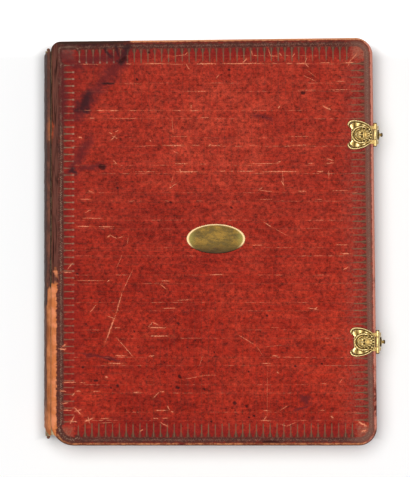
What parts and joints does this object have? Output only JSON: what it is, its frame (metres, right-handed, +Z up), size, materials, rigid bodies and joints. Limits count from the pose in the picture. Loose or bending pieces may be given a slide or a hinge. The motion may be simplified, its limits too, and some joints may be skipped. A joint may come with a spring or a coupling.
{
  "type": "antique leather book",
  "caption": "Closed leather-covered album with rounded corners, tooled border, oval brass plate and two hinged cast clasps.",
  "frame": {"origin": "centre of the closed book between spine and fore edge, at half height, on the back cover's outer face that it lies on", "axes": "+X from the spine to the fore edge, +Y from the tail to the head, +Z up through the thickness from the back cover to the front"},
  "size_m": [0.2096, 0.2499, 0.0326],
  "materials": {
    "leather": "worn red goatskin, satin",
    "spine_leather": "darkened, worn goatskin",
    "board": "grey-brown millboard",
    "paper": "aged cream leaves",
    "thread": "faded thread and cord",
    "brass": "cast, gilt and rubbed",
    "dull_brass": "olive patina",
    "dark_brass": "dark, tarnished"
  },
  "bodies": {
    "back_cover": {"back_board": "board", "back_leather": "leather", "back_pastedown": "paper", "catch_upper": "brass", "catch_lower": "brass", "catch_pins_upper": "dark_brass", "catch_pins_lower": "dark_brass"},
    "book_block": {"book_block": "paper", "sewing_cords": "thread", "spine_lining": "board", "spine_leather": "spine_leather", "headband_head": "thread", "headband_tail": "thread"},
    "front_cover": {"front_board": "board", "front_leather": "leather", "front_pastedown": "paper", "oval_plate": "dull_brass", "clasp_plate_upper": "brass", "clasp_plate_lower": "brass", "plate_pins_upper": "dark_brass", "plate_pins_lower": "dark_brass", "hinge_pin_upper": "dark_brass", "hinge_pin_lower": "dark_brass"},
    "hasp_upper": {"hasp_upper": "brass", "knob_upper": "brass"},
    "hasp_lower": {"hasp_lower": "brass", "knob_lower": "brass"}
  },
  "joints": [
    {"name": "back_joint", "type": "hinge", "parent": "back_cover", "child": "book_block", "pos_m": [-0.09705, 0, 0], "axis": [0, -1, 0], "range_deg": [0, 180]},
    {"name": "front_joint", "type": "hinge", "parent": "book_block", "child": "front_cover", "pos_m": [-0.09705, 0, 0.03], "axis": [0, -1, 0], "range_deg": [0, 180]},
    {"name": "hasp_upper_hinge", "type": "hinge", "parent": "front_cover", "child": "hasp_upper", "pos_m": [0.10166, 0.0655, 0.02994], "axis": [0, -1, 0], "range_deg": [-3, 165]},
    {"name": "hasp_lower_hinge", "type": "hinge", "parent": "front_cover", "child": "hasp_lower", "pos_m": [0.10319, -0.0615, 0.02994], "axis": [0, -1, 0], "range_deg": [-3, 165]}
  ]
}
